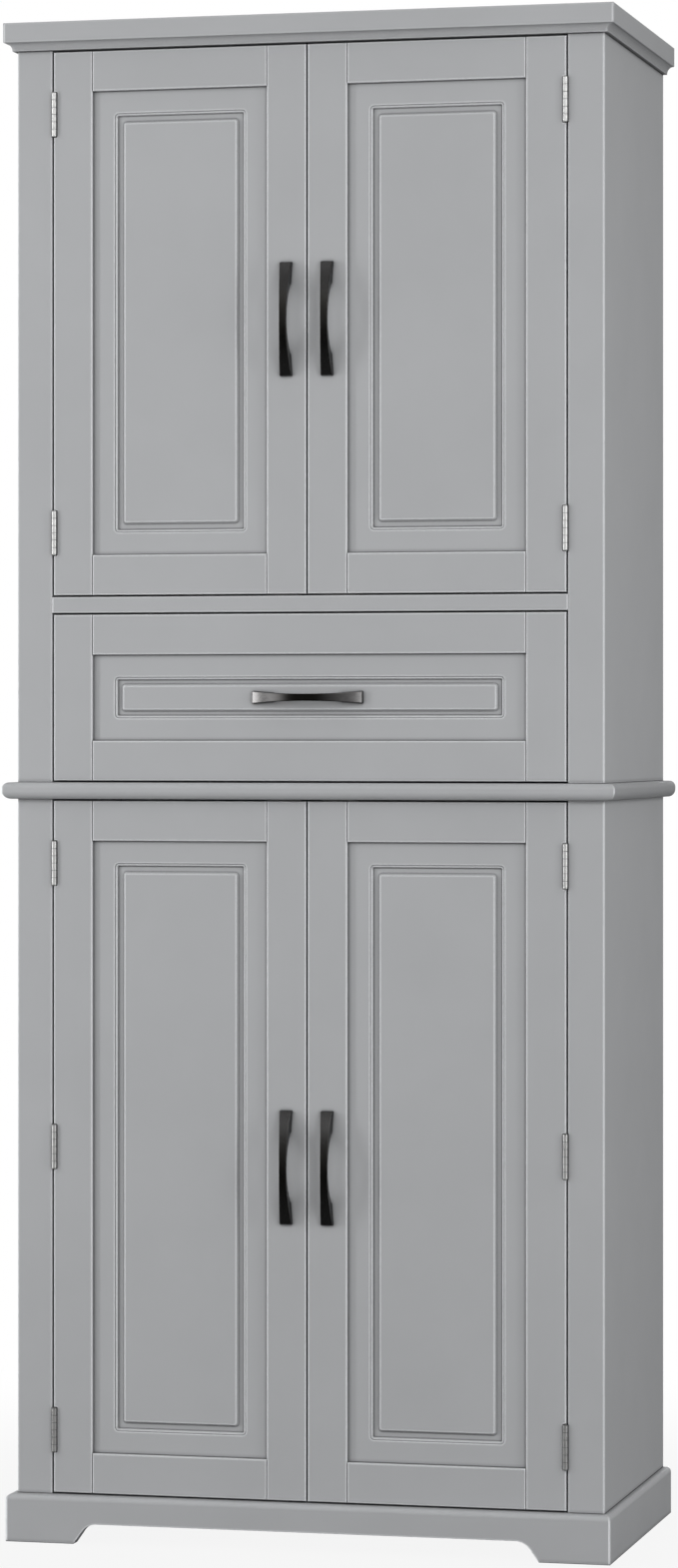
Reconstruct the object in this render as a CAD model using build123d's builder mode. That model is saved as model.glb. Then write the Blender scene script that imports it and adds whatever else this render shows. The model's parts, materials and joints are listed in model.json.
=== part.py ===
from build123d import *
import os

# A free-standing pantry cabinet in painted board: a lower case with two tall doors, a waist board,
# and an upper case with a drawer and two more doors under a crown moulding.
# The frame of the whole model: +Z up from the floor, -Y towards the user, X from left to right.
# The origin is on the floor, midway across the width and midway between handles and back.

os.makedirs("parts", exist_ok=True)

# ---------------------------------------------------------------- driving sizes, in millimetres

case_width = 722.0  # over the two side panels
case_depth = 396.0  # from the faces of the doors to the wall side of the back
gap = 2.0  # joint left around every door and the drawer

plinth_height = 57.0
lower_door_height = 836.0
waist_thickness = 20.0
drawer_front_height = 200.5
divider_thickness = 19.5
upper_door_height = 656.5
crown_height = 33.5

case_board = 16.0  # sides, stiles, top and bottom
face_stile_width = 43.5
corner_radius = 1.5  # eased outer corners of the case
back_thickness = 5.0
back_rabbet = 8.0  # how far the back reaches into each side

crown_overhang = 14.2
waist_overhang = 15.5
plinth_front_overhang = 16.5
plinth_side_overhang = 10.0

front_thickness = 18.0  # doors and drawer front
frame_width = 48.5  # stiles and rails of the doors and the drawer front
front_edge_radius = 1.2
joint_chamfer = 0.9  # V-joint where a rail meets a stile
panel_thickness = 9.0
panel_recess = 5.0  # panel face behind the face of its frame
panel_float = 0.5  # play between the panel's edge and the bottom of its groove
tongue = 6.0  # depth of the panel groove

# ---------------------------------------------------------------- levels and planes

lower_door_bottom = plinth_height + gap
lower_door_top = lower_door_bottom + lower_door_height
waist_under = lower_door_top + gap
waist_top = waist_under + waist_thickness
drawer_front_bottom = waist_top + gap
drawer_front_top = drawer_front_bottom + drawer_front_height
divider_under = drawer_front_top + gap
divider_top = divider_under + divider_thickness
upper_door_bottom = divider_top + gap
upper_door_top = upper_door_bottom + upper_door_height
crown_under = upper_door_top + gap
total_height = crown_under + crown_height

half_case = case_width / 2
inner_half = half_case - case_board  # inner faces of the side panels
opening_half = half_case - face_stile_width  # inner edges of the face stiles
door_outer = opening_half - gap  # hinged edge of a door, from the middle
door_inner = gap / 2  # meeting edge of a door, from the middle

handle_length = 135.5
handle_end_width = 14.5
handle_waist_width = 8.5
handle_end_thickness = 5.0
handle_bar_thickness = 4.5
handle_reach = 20.0  # how far the bow stands out from the face that it is screwed to
handle_foot = 25.0  # flat part at each end that bears on the door
handle_hole_spacing = 96.0
handle_edge_radius = 0.8
lower_handle_height = 398.5  # middle of a lower handle above the bottom of its door

face = -(case_depth - handle_reach) / 2  # Y of the faces of doors, drawer and stiles
rear = face + case_depth  # Y of the wall side of the back
inside_rear = rear - back_thickness
panel_front = face + panel_recess
panel_back = panel_front + panel_thickness
front_back = face + front_thickness  # Y of the backs of the doors and of the drawer front

LEFT = -1
RIGHT = 1
SIDE_NAMES = {LEFT: "left", RIGHT: "right"}

# ---------------------------------------------------------------- hinges

hinge_height = 54.0
hinge_setback = 48.5  # from the end of the door to the near end of the hinge
knuckle_count = 6
knuckle_radius = 3.25
knuckle_play = 0.2
pin_radius = 1.6
pin_running_clearance = 0.05
pin_head_radius = 2.6
pin_head_height = 0.6
pin_inset = 0.8  # pin axis inside the hinged edge of the door
pin_proud = 1.0  # pin axis in front of the face
leaf_thickness = 1.2
leaf_mortise = 0.4  # how deep each leaf is let into its wood
leaf_reach = 15.0  # from the face to the rear edge of a leaf
leaf_clearance = 0.35  # from a turning knuckle to the other leaf
bore_web = 0.6  # metal left between the pin's bore and the start of a door leaf
knuckle_clearance = 0.35  # from a knuckle to the wood around it

pin_x = door_outer - pin_inset
pin_y = face - pin_proud
knuckle_pitch = (hinge_height - 2 * pin_head_height) / knuckle_count
knuckle_cut = knuckle_radius + knuckle_clearance
frame_leaf_x = (opening_half + leaf_mortise - leaf_thickness, opening_half + leaf_mortise)
door_leaf_x = (door_outer - leaf_mortise, door_outer - leaf_mortise + leaf_thickness)


def hinge_levels(bottom, top, count):
    """Middles of the hinges on a door between the given levels."""
    first = bottom + hinge_setback + hinge_height / 2
    last = top - hinge_setback - hinge_height / 2
    step = (last - first) / (count - 1)
    return [first + step * i for i in range(count)]


upper_hinges = hinge_levels(upper_door_bottom, upper_door_top, 2)
lower_hinges = hinge_levels(lower_door_bottom, lower_door_top, 3)

# ---------------------------------------------------------------- screws

screw_point = 0.5  # chamfer at a screw's point, as a share of its radius
head_dome = 0.45  # rounding of a screw's head, as a share of its height
leaf_screw_radius = 1.4
leaf_screw_head = 2.6
leaf_screw_length = 12.0
leaf_screw_offset = 15.0  # above and below the middle of the hinge
leaf_screw_edge = 5.2  # from the rear edge of the leaf
handle_screw_radius = 2.0
handle_screw_head = 4.0
handle_screw_head_height = 2.4
handle_screw_bite = 8.0  # length of thread inside the handle
small_screw_radius = 1.5
small_screw_head = 2.8
small_screw_head_height = 1.6
packer_screw_length = 14.0
catch_screw_bite = 12.0  # length of thread in the board that carries a catch
runner_screw_length = 9.0
box_screw_bite = 12.0  # length of thread in the drawer front
screw_play = 0.05
through_play = 0.2
drive_slot = 0.8

leaf_screw_y = face + leaf_reach - leaf_screw_edge

# ---------------------------------------------------------------- drawer and runners

runner_space = 13.0  # between the drawer box and the packer on each side
runner_height = 45.0
runner_sheet = 1.2
runner_length = 350.0
runner_setback = 4.0  # behind the drawer front
runner_gap = 0.3  # from a ball cage to the track that it runs in
middle_web_offset = 3.3  # web of the middle member, inside the face of the packer
middle_half_height = 19.0
inner_half_height = 15.2
flange_gap = 2.0  # from the flanges of the outer member to the drawer's side
cage_inset = 1.0  # ball cages inside the edges of their member
runner_screw_setback = (40.0, 300.0)  # behind the back of the drawer front
packer_height = 60.0
box_board = 12.0
box_height = 120.0
box_length = 350.0
box_lift = 22.0  # bottom of the box above the bottom of the drawer front
box_base_thickness = 6.0
box_base_lift = 10.0
box_base_groove = 6.0
box_base_play = 0.2
box_screw_inset = 36.0  # from the end of the drawer front
box_screw_rises = (34.0, 104.0)  # above the bottom of the box

box_half = opening_half - runner_space
box_bottom = drawer_front_bottom + box_lift
box_top = box_bottom + box_height
box_back = front_back + box_length
runner_level = (box_bottom + box_top) / 2
drawer_level = (drawer_front_bottom + drawer_front_top) / 2

# ---------------------------------------------------------------- shelves and fittings

shelf_thickness = 16.0
shelf_setback = 30.0  # behind the face
shelf_side_play = 1.0
upper_shelf_rise = 322.0  # above the divider
lower_shelf_rises = (274.0, 555.0)  # above the bottom board
shelf_pin_radius = 2.5
shelf_pin_depth = 8.0  # in the side, and as much out of it
shelf_pin_edge = 40.0  # from the front or rear edge of the shelf
pin_hole_step = 32.0  # spare holes above and below each shelf pin

catch_width = 40.0
catch_depth = 14.0
catch_height = 13.0
catch_offset = 35.0  # middle of a catch from the middle of the cabinet
catch_air = 0.3  # between the magnet and its plate
catch_rounding = 1.0
catch_screw_spacing = 28.0
strike_width = 36.0
strike_height = 10.0
strike_thickness = 1.2
strike_edge = 1.5  # from the end of the door to the plate

wall_rail_height = 80.0
wall_hole_spacing = 400.0
wall_hole_radius = 3.25

upper_shelf_levels = [divider_top + upper_shelf_rise]
lower_shelf_levels = [plinth_height + rise for rise in lower_shelf_rises]
shelf_front = face + shelf_setback
shelf_rear = inside_rear - shelf_side_play
shelf_pin_y = (shelf_front + shelf_pin_edge, shelf_rear - shelf_pin_edge)

catch_front = front_back + strike_thickness + catch_air
catch_screw_x = [side * catch_offset + end * catch_screw_spacing / 2
                 for side in (LEFT, RIGHT) for end in (-1, 1)]


def board(x, y, z, mode=Mode.ADD):
    """A block between two limits along each axis, in the part being built."""
    with Locations(((x[0] + x[1]) / 2, (y[0] + y[1]) / 2, (z[0] + z[1]) / 2)):
        Box(abs(x[1] - x[0]), abs(y[1] - y[0]), abs(z[1] - z[0]), mode=mode)


def bore(point, direction, radius, depth):
    """A round hole from a point along a direction, in the part being built."""
    with Locations(Plane(origin=point, z_dir=direction)):
        Cylinder(radius, depth, align=(Align.CENTER, Align.CENTER, Align.MIN), mode=Mode.SUBTRACT)


def place(solid, point, direction):
    """A copy of a solid modelled along +Z, set at a point and turned to a direction."""
    with Locations(Plane(origin=point, z_dir=direction)):
        add(solid)


def save(builder, node):
    builder.part.label = node
    export_step(builder.part, f"parts/{node}.step")


# ================================================================ loose fittings, made once

def round_head_screw(head_radius, head_height, shank_radius, length):
    """A screw along +Z from its bearing face, with a domed cross-head below it."""
    with BuildPart() as screw:
        with Locations((0, 0, -head_height)):
            Cylinder(head_radius, head_height, align=(Align.CENTER, Align.CENTER, Align.MIN))
        fillet(screw.edges().sort_by(Axis.Z)[0], head_height * head_dome)
        for slot_size in ((drive_slot, head_radius), (head_radius, drive_slot)):
            with Locations((0, 0, -head_height)):
                Box(*slot_size, head_height, mode=Mode.SUBTRACT)
        Cylinder(shank_radius, length, align=(Align.CENTER, Align.CENTER, Align.MIN))
        chamfer(screw.edges().sort_by(Axis.Z)[-1], shank_radius * screw_point)
    return screw.part


def flush_screw():
    """A leaf screw along +Z, its countersunk head as deep as the leaf is thick."""
    with BuildPart() as screw:
        with Locations((0, 0, leaf_thickness / 2)):
            Cone(leaf_screw_head, leaf_screw_radius, leaf_thickness)
        with Locations((0, 0, leaf_thickness)):
            Cylinder(leaf_screw_radius, leaf_screw_length,
                     align=(Align.CENTER, Align.CENTER, Align.MIN))
        chamfer(screw.edges().sort_by(Axis.Z)[-1], leaf_screw_radius * screw_point)
        for slot_size in ((drive_slot, 2 * leaf_screw_radius), (2 * leaf_screw_radius, drive_slot)):
            Box(*slot_size, leaf_thickness, mode=Mode.SUBTRACT)
    return screw.part


def small_screw(length):
    return round_head_screw(small_screw_head, small_screw_head_height, small_screw_radius, length)


leaf_screw = flush_screw()
packer_screw = small_screw(packer_screw_length)
catch_screw = small_screw(catch_height + catch_screw_bite)
runner_screw = small_screw(runner_screw_length)
box_screw = small_screw(box_board + box_screw_bite)


def knuckles(first):
    """Every second knuckle of a hinge about the pin axis, from the given one up."""
    for i in range(first, knuckle_count, 2):
        level = -hinge_height / 2 + pin_head_height + (i + 0.5) * knuckle_pitch
        with Locations((pin_x, pin_y, level)):
            Cylinder(knuckle_radius, knuckle_pitch - knuckle_play)


def knuckle_spans(first):
    """Height ranges of the same knuckles."""
    low = -hinge_height / 2 + pin_head_height
    return [(low + i * knuckle_pitch, low + (i + 1) * knuckle_pitch)
            for i in range(first, knuckle_count, 2)]


def hinge_leaf(x, first, bore_radius, tab_start):
    """One leaf of a right-hand hinge with its knuckles, the middle of the hinge at Z 0."""
    body_start = pin_y + knuckle_radius + leaf_clearance
    half = hinge_height / 2 - pin_head_height
    with BuildPart() as leaf:
        board(x, (body_start, face + leaf_reach), (-half, half))
        for low, high in knuckle_spans(first):
            board(x, (tab_start, body_start), (low + knuckle_play / 2, high - knuckle_play / 2))
        knuckles(first)
        with Locations((pin_x, pin_y, 0)):
            Cylinder(bore_radius, hinge_height, mode=Mode.SUBTRACT)
    return leaf.part


def leaf_with_screw_holes(leaf, head_x, direction):
    with BuildPart() as drilled:
        add(leaf)
        for offset in (-leaf_screw_offset, leaf_screw_offset):
            with Locations(Plane(origin=(head_x, leaf_screw_y, offset), z_dir=(direction, 0, 0))):
                with Locations((0, 0, leaf_thickness / 2)):
                    Cone(leaf_screw_head + screw_play, leaf_screw_radius + screw_play,
                         leaf_thickness, mode=Mode.SUBTRACT)
    return drilled.part


frame_leaf = leaf_with_screw_holes(
    hinge_leaf(frame_leaf_x, 0, pin_radius + screw_play / 2, pin_y), frame_leaf_x[0], RIGHT)
door_leaf = leaf_with_screw_holes(
    hinge_leaf(door_leaf_x, 1, pin_radius + pin_running_clearance, pin_y + pin_radius + bore_web),
    door_leaf_x[1], LEFT)

with BuildPart() as pin_shape:
    with Locations((pin_x, pin_y, 0)):
        Cylinder(pin_radius, hinge_height)
    for end in (-1, 1):
        with Locations((pin_x, pin_y, end * (hinge_height - pin_head_height) / 2)):
            Cylinder(pin_head_radius, pin_head_height)


def on_side(solid, side):
    """The solid as modelled for the right, or its mirror image for the left."""
    return solid if side == RIGHT else mirror(solid, about=Plane.YZ, mode=Mode.PRIVATE)


def hinge_pocket(side, level, leaf_x):
    """The cut for a hinge in a stile: room for the knuckles, and the leaf's mortise."""
    with Locations((side * pin_x, pin_y, level)):
        Cylinder(knuckle_cut, hinge_height + 2 * knuckle_clearance, mode=Mode.SUBTRACT)
    half = hinge_height / 2 - pin_head_height
    board((side * leaf_x[0], side * leaf_x[1]), (face, face + leaf_reach),
          (level - half, level + half), mode=Mode.SUBTRACT)


def leaf_screw_bores(side, level, wood_x, direction):
    for offset in (-leaf_screw_offset, leaf_screw_offset):
        bore((side * wood_x, leaf_screw_y, level + offset), (side * direction, 0, 0),
             leaf_screw_radius + screw_play, leaf_screw_length)


# ================================================================ the case

def side_panel(bottom, top, shelf_levels):
    """A right side panel, mitred in front, rabbeted for the back and bored for shelf pins."""
    with BuildPart() as panel:
        with BuildSketch(Plane.XY.offset(bottom)):
            with BuildLine():
                Polyline((half_case, face + corner_radius), (half_case, rear),
                         (half_case - back_rabbet, rear), (half_case - back_rabbet, inside_rear),
                         (inner_half, inside_rear), (inner_half, face + case_board), close=True)
            make_face()
        extrude(amount=top - bottom)
        for shelf_level in shelf_levels:
            for y in shelf_pin_y:
                for step in (-pin_hole_step, 0, pin_hole_step):
                    level = shelf_level - shelf_pin_radius + step
                    bore((inner_half, y, level), (1, 0, 0), shelf_pin_radius + screw_play,
                         shelf_pin_depth + screw_play)
    return panel.part


def save_pair(right_part, node):
    """Write a right-hand piece and its mirror image as two nodes."""
    for side in (LEFT, RIGHT):
        with BuildPart() as piece:
            add(on_side(right_part, side))
        save(piece, f"{node}_{SIDE_NAMES[side]}")


save_pair(side_panel(0, waist_under, lower_shelf_levels), "lower_side")
save_pair(side_panel(waist_top, total_height, upper_shelf_levels), "upper_side")


def face_stile(bottom, top, hinge_list):
    """The right face stile, mitred to the side panel and let in for its hinges."""
    with BuildPart() as stile:
        with BuildSketch(Plane.XY.offset(bottom)):
            with BuildLine():
                Line((opening_half, face), (half_case - corner_radius, face))
                RadiusArc((half_case - corner_radius, face), (half_case, face + corner_radius),
                          -corner_radius)
                Polyline((half_case, face + corner_radius), (inner_half, face + case_board),
                         (opening_half, face + case_board), (opening_half, face))
            make_face()
        extrude(amount=top - bottom)
        inner_edge = stile.edges().filter_by(Axis.Z).group_by(Axis.X)[0].sort_by(Axis.Y)[0]
        fillet(inner_edge, front_edge_radius)
        for level in hinge_list:
            hinge_pocket(RIGHT, level, frame_leaf_x)
            leaf_screw_bores(RIGHT, level, frame_leaf_x[1], RIGHT)
    return stile.part


lower_face_stile = face_stile(0, waist_under, lower_hinges)
upper_face_stile = face_stile(waist_top, total_height, upper_hinges)

with BuildPart() as face_frame_stiles:
    for side in (LEFT, RIGHT):
        add(on_side(lower_face_stile, side))
        add(on_side(upper_face_stile, side))
save(face_frame_stiles, "face_frame_stiles")

with BuildPart() as top_rail:
    board((-opening_half, opening_half), (face, face + case_board), (crown_under, total_height))
save(top_rail, "top_rail")

with BuildPart() as top_board:
    board((-inner_half, inner_half), (face + case_board, inside_rear),
          (total_height - case_board, total_height))
save(top_board, "top_board")


def notched_shelf(bottom, top):
    """A fixed board between the sides, its front edge let between the face stiles."""
    board((-inner_half, inner_half), (face + case_board, inside_rear), (bottom, top))
    board((-opening_half, opening_half), (face, face + case_board), (bottom, top))


with BuildPart() as divider_board:
    notched_shelf(divider_under, divider_top)
    front_edges = divider_board.edges().group_by(Axis.Y)[0].filter_by(Axis.X)
    fillet(front_edges, front_edge_radius)
    for x in catch_screw_x:
        bore((x, catch_front + catch_depth / 2, divider_top), (0, 0, -1),
             small_screw_radius + screw_play, catch_screw_bite)
save(divider_board, "divider_board")

with BuildPart() as bottom_board:
    notched_shelf(plinth_height - case_board, plinth_height)
save(bottom_board, "bottom_board")

waist_top_radius = 7.5
waist_under_radius = 9.5

with BuildPart() as waist_board:
    waist_half = half_case + waist_overhang
    board((-waist_half, waist_half), (face - waist_overhang, rear), (waist_under, waist_top))
    for level, radius in ((-1, waist_top_radius), (0, waist_under_radius)):
        rim = waist_board.edges().group_by(Axis.Z)[level]
        fillet(rim.sort_by(Axis.Y)[:-1], radius)
    for x in catch_screw_x:
        bore((x, catch_front + catch_depth / 2, waist_under), (0, 0, 1),
             small_screw_radius + screw_play, catch_screw_bite)
save(waist_board, "waist_board")

with BuildPart() as back_panels:
    back_half = half_case - back_rabbet
    board((-back_half, back_half), (inside_rear, rear), (0, waist_under))
    board((-back_half, back_half), (inside_rear, rear), (waist_top, total_height))
    for side in (LEFT, RIGHT):
        wall_hole = (side * wall_hole_spacing / 2, rear,
                     total_height - case_board - wall_rail_height / 2)
        bore(wall_hole, (0, -1, 0), wall_hole_radius, back_thickness)
save(back_panels, "back_panels")

with BuildPart() as wall_fixing_rail:
    rail_top = total_height - case_board
    board((-inner_half, inner_half), (inside_rear - case_board, inside_rear),
          (rail_top - wall_rail_height, rail_top))
    for side in (LEFT, RIGHT):
        bore((side * wall_hole_spacing / 2, inside_rear, rail_top - wall_rail_height / 2),
             (0, -1, 0), wall_hole_radius, case_board)
save(wall_fixing_rail, "wall_fixing_rail")

with BuildPart() as plinth_rear:
    board((-inner_half, inner_half), (inside_rear - case_board, inside_rear),
          (0, plinth_height - case_board))
save(plinth_rear, "plinth_rear")

# ---------------------------------------------------------------- plinth

plinth_top_radius = 6.0
arch_half_width = 286.0  # at the floor
arch_height = 24.2
arch_foot_slant = (8.5, 12.0)  # straight stretch of the foot, across and up
arch_shoulder = 27.0  # from the end of the foot at the floor to the level top of the arch
arch_bulge = (0.36, 0.63)  # a point on the curve between foot and top, as shares of its run and rise


def arch_side(side):
    """Half of the cut-out under the front plinth, as X and Z from the middle of the floor."""
    foot = (side * arch_half_width, 0)
    knee = (side * (arch_half_width - arch_foot_slant[0]), arch_foot_slant[1])
    crest = (side * (arch_half_width - arch_shoulder), arch_height)
    run = crest[0] - knee[0]
    rise = crest[1] - knee[1]
    middle = (knee[0] + arch_bulge[0] * run, knee[1] + arch_bulge[1] * rise)
    Line(foot, knee)
    ThreePointArc(knee, middle, crest)
    return foot, crest


with BuildPart() as plinth_ring:
    plinth_half = half_case + plinth_side_overhang
    board((-plinth_half, plinth_half), (face - plinth_front_overhang, rear), (0, plinth_height))
    board((-half_case, half_case), (face, rear), (0, plinth_height), mode=Mode.SUBTRACT)
    top_edges = plinth_ring.edges().group_by(Axis.Z)[-1]
    outer_top = (
        top_edges.filter_by(Axis.Y).group_by(Axis.X)[0]
        + top_edges.filter_by(Axis.Y).group_by(Axis.X)[-1]
        + top_edges.filter_by(Axis.X).group_by(Axis.Y)[0]
    )
    fillet(outer_top, plinth_top_radius)
    with BuildSketch(Plane.XZ.offset(-face)):
        with BuildLine():
            left_foot, left_crest = arch_side(LEFT)
            right_foot, right_crest = arch_side(RIGHT)
            Line(left_crest, right_crest)
            Line(left_foot, right_foot)
        make_face()
    extrude(amount=plinth_front_overhang, mode=Mode.SUBTRACT)


def plinth_mitre(side):
    """Upright plane through a front corner of the case and the plinth's own corner."""
    return Plane(origin=(side * half_case, face, 0),
                 z_dir=(side * plinth_front_overhang, plinth_side_overhang, 0))


with BuildPart() as plinth_front:
    add(plinth_ring.part)
    for side in (LEFT, RIGHT):
        split(bisect_by=plinth_mitre(side), keep=Keep.BOTTOM)
save(plinth_front, "plinth_front")

with BuildPart() as plinth_sides:
    for side in (LEFT, RIGHT):
        add(split(plinth_ring.part, bisect_by=plinth_mitre(side), keep=Keep.TOP,
                  mode=Mode.PRIVATE))
save(plinth_sides, "plinth_sides")

# ---------------------------------------------------------------- crown moulding

lip_overhang = 5.2
lip_height = 2.0
fascia_lift = 9.5  # from the bottom of the crown to the bottom of its fascia
fascia_edge = 1.2
fascia_return = 2.7  # flat underside of the fascia
cove_bulge = (0.40, 0.68)  # a point on the cove, as shares of its run and rise

with BuildSketch() as crown_section:
    with BuildLine():
        cove_foot = (lip_overhang, lip_height)
        cove_head = (crown_overhang - fascia_return, fascia_lift)
        cove_run = cove_head[0] - cove_foot[0]
        cove_rise = cove_head[1] - cove_foot[1]
        cove_middle = (cove_foot[0] + cove_bulge[0] * cove_run,
                       cove_foot[1] + cove_bulge[1] * cove_rise)
        Polyline((0, 0), (lip_overhang, 0), cove_foot)
        ThreePointArc(cove_foot, cove_middle, cove_head)
        Polyline(cove_head, (crown_overhang, fascia_lift), (crown_overhang, crown_height),
                 (0, crown_height), (0, 0))
    make_face()
    fascia_corners = crown_section.vertices().group_by(Axis.X)[-1]
    fillet(fascia_corners, fascia_edge)


def crown_mitre(side):
    return Plane(origin=(side * half_case, face, 0), z_dir=(side, 1, 0))


def crown_length(origin, outward, run_direction, length):
    """A straight length of the crown moulding, before its mitres are cut."""
    with BuildPart() as straight:
        with BuildSketch(Plane(origin=origin, x_dir=outward, z_dir=run_direction)):
            add(crown_section.sketch)
        extrude(amount=length)
    return straight.part


crown_half = half_case + crown_overhang
front_length = crown_length((crown_half, face, crown_under), (0, -1, 0), (-1, 0, 0),
                            2 * crown_half)
right_length = crown_length((half_case, rear, crown_under), (1, 0, 0), (0, -1, 0),
                            case_depth + crown_overhang)

with BuildPart() as crown_front:
    add(front_length)
    for side in (LEFT, RIGHT):
        split(bisect_by=crown_mitre(side), keep=Keep.BOTTOM)
save(crown_front, "crown_front")

with BuildPart() as right_crown:
    add(right_length)
    split(bisect_by=crown_mitre(RIGHT), keep=Keep.TOP)

with BuildPart() as crown_sides:
    for side in (LEFT, RIGHT):
        add(on_side(right_crown.part, side))
save(crown_sides, "crown_sides")

# ---------------------------------------------------------------- shelves


def shelf(level):
    half = inner_half - shelf_side_play
    board((-half, half), (shelf_front, shelf_rear), (level, level + shelf_thickness))


def shelf_pins_at(level):
    for side in (LEFT, RIGHT):
        for y in shelf_pin_y:
            with Locations(Plane(origin=(side * (inner_half + shelf_pin_depth), y,
                                         level - shelf_pin_radius), z_dir=(-side, 0, 0))):
                Cylinder(shelf_pin_radius, 2 * shelf_pin_depth,
                         align=(Align.CENTER, Align.CENTER, Align.MIN))


with BuildPart() as shelves:
    for level in upper_shelf_levels + lower_shelf_levels:
        shelf(level)
save(shelves, "shelves")

with BuildPart() as shelf_pins:
    for level in upper_shelf_levels + lower_shelf_levels:
        shelf_pins_at(level)
save(shelf_pins, "shelf_pins")

# ---------------------------------------------------------------- magnetic catches

CATCH_SEATS = ((divider_top, 1), (waist_under, -1))  # level, and which way the catch stands

with BuildPart() as magnetic_catches:
    for level, up in CATCH_SEATS:
        for side in (LEFT, RIGHT):
            x = side * catch_offset
            board((x - catch_width / 2, x + catch_width / 2),
                  (catch_front, catch_front + catch_depth), (level, level + up * catch_height))
    fillet(magnetic_catches.edges().filter_by(Axis.Y), catch_rounding)
    for level, up in CATCH_SEATS:
        for x in catch_screw_x:
            bore((x, catch_front + catch_depth / 2, level), (0, 0, up),
                 small_screw_radius + screw_play, catch_height)
save(magnetic_catches, "magnetic_catches")

# ================================================================ hinges on the frame

ALL_HINGES = [(side, level) for side in (LEFT, RIGHT) for level in upper_hinges + lower_hinges]

with BuildPart() as frame_hinge_leaves:
    for side, level in ALL_HINGES:
        with Locations((0, 0, level)):
            add(on_side(frame_leaf, side))
save(frame_hinge_leaves, "frame_hinge_leaves")

with BuildPart() as hinge_pins:
    for side, level in ALL_HINGES:
        with Locations((0, 0, level)):
            add(on_side(pin_shape.part, side))
save(hinge_pins, "hinge_pins")

# ================================================================ framed fronts

groove_margin = 27.0  # from the inner edge of the frame to the groove in the panel
door_groove_width = 12.2
drawer_groove_width = 10.4
groove_step = 0.8  # depth of the narrow ledge along the outside of the groove
groove_ledge = 2.4
groove_depth = 3.6
groove_wall = 1.2  # width of the steep wall below the ledge
groove_rise = 2.4  # width of the slope up to the field
groove_outer_radius = 5.0
groove_inner_radius = 2.0
groove_edge_radius = 0.7


def front_stiles(x, z, hinge_side, hinge_list, handle_holes, box_holes):
    """The two stiles of a framed front, with their hinge pockets and screw holes."""
    with BuildPart() as stiles:
        board((x[0], x[0] + frame_width), (face, front_back), z)
        board((x[1] - frame_width, x[1]), (face, front_back), z)
        uprights = stiles.edges().group_by(Axis.Y)[0].filter_by(Axis.Z).sort_by(Axis.X)
        chamfer(uprights[1:3], joint_chamfer)
        ends = stiles.edges().group_by(Axis.Y)[0].filter_by(Axis.X)
        uprights = stiles.edges().group_by(Axis.Y)[0].filter_by(Axis.Z).sort_by(Axis.X)
        fillet(ends + [uprights[0], uprights[-1]], front_edge_radius)
        board((x[0] + frame_width - tongue, x[1] - frame_width + tongue),
              (panel_front, panel_back), z, mode=Mode.SUBTRACT)
        for level in hinge_list:
            hinge_pocket(hinge_side, level, door_leaf_x)
            leaf_screw_bores(hinge_side, level, door_leaf_x[0], LEFT)
        for hole_x, hole_z in handle_holes:
            bore((hole_x, front_back, hole_z), (0, -1, 0), handle_screw_radius + through_play,
                 front_thickness)
        for hole_x, hole_z in box_holes:
            bore((hole_x, front_back, hole_z), (0, -1, 0), small_screw_radius + screw_play,
                 box_screw_bite + screw_play)
    return stiles


def front_rails(x, z):
    """The top and bottom rails of a framed front, tongued into its stiles."""
    inner = (x[0] + frame_width, x[1] - frame_width)
    with BuildPart() as rails:
        board(inner, (face, front_back), (z[1] - frame_width, z[1]))
        board(inner, (face, front_back), (z[0], z[0] + frame_width))
        levels = rails.edges().group_by(Axis.Y)[0].filter_by(Axis.X).sort_by(Axis.Z)
        fillet([levels[0], levels[-1]], front_edge_radius)
        front_edges = rails.edges().group_by(Axis.Y)[0]
        levels = front_edges.filter_by(Axis.X).sort_by(Axis.Z)
        chamfer(front_edges.filter_by(Axis.Z) + levels[1:3], joint_chamfer)
        board(inner, (panel_front, panel_back),
              (z[0] + frame_width - tongue, z[1] - frame_width + tongue), mode=Mode.SUBTRACT)
        for end_x in (inner[0] - tongue, inner[1]):
            board((end_x, end_x + tongue), (panel_front, panel_back),
                  (z[1] - frame_width + tongue, z[1] - front_edge_radius))
            board((end_x, end_x + tongue), (panel_front, panel_back),
                  (z[0] + front_edge_radius, z[0] + frame_width - tongue))
    return rails


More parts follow.
